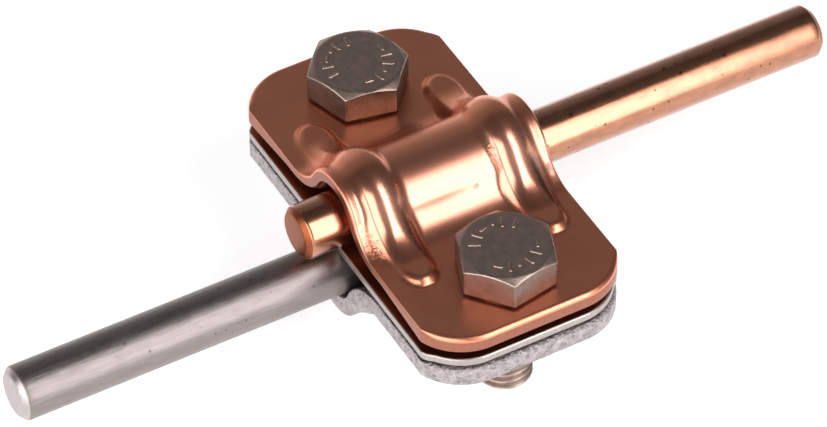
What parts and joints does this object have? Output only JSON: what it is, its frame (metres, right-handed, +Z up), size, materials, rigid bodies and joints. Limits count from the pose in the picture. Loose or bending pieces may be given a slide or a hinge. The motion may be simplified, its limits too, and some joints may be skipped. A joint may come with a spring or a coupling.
{
  "type": "disconnect clamp",
  "caption": "Disconnect clamp: pressed copper and galvanised steel jaws, with a flat clad plate between them, grip round conductors laid one over the other and are drawn together by hex bolts.",
  "frame": {"origin": "centre of the whole part: midway between the conductors' far ends and between the bolts, halfway between the upper bead crests and the bolt tips", "axes": "+X along the conductors towards the copper conductor's long end, +Y along the plates from the front bolt to the rear bolt, +Z up through the bolts towards their heads"},
  "size_m": [0.128, 0.06, 0.0285],
  "materials": {
    "pressed_copper": "pressed copper sheet, satin on the flats and polished over the saddle",
    "clad_sheet": "thin copper-clad aluminium sheet, copper upwards",
    "galvanised_steel": "hot-dip galvanised, grainy light grey",
    "stainless_steel": "cold-forged stainless steel, satin",
    "drawn_copper": "bright drawn copper with small dark specks",
    "zinc_coated_wire": "satin zinc-coated steel wire"
  },
  "bodies": {
    "lower_jaw": {"lower_plate": "galvanised_steel", "middle_plate": "clad_sheet", "copper_conductor": "drawn_copper", "steel_conductor": "zinc_coated_wire"},
    "upper_jaw": {"upper_plate": "pressed_copper"},
    "front_bolt": {"front_bolt": "stainless_steel"},
    "rear_bolt": {"rear_bolt": "stainless_steel"}
  },
  "joints": [
    {"name": "upper_jaw_lift", "type": "slide", "parent": "lower_jaw", "child": "upper_jaw", "axis": [0, 0, 1], "range_m": [0, 0.01]},
    {"name": "front_bolt_turn", "type": "hinge", "parent": "upper_jaw", "child": "front_bolt", "pos_m": [0.00145, -0.02075, 0.00575], "axis": [0, 0, 1], "range_deg": [0, 2881]},
    {"name": "rear_bolt_turn", "type": "hinge", "parent": "upper_jaw", "child": "rear_bolt", "pos_m": [0.00145, 0.02075, 0.00575], "axis": [0, 0, 1], "range_deg": [0, 2881]}
  ],
  "couplings": [
    {"joint": "front_bolt_turn", "follows": "upper_jaw_lift", "rad_per_m": 5026.5},
    {"joint": "rear_bolt_turn", "follows": "upper_jaw_lift", "rad_per_m": 5026.5}
  ]
}
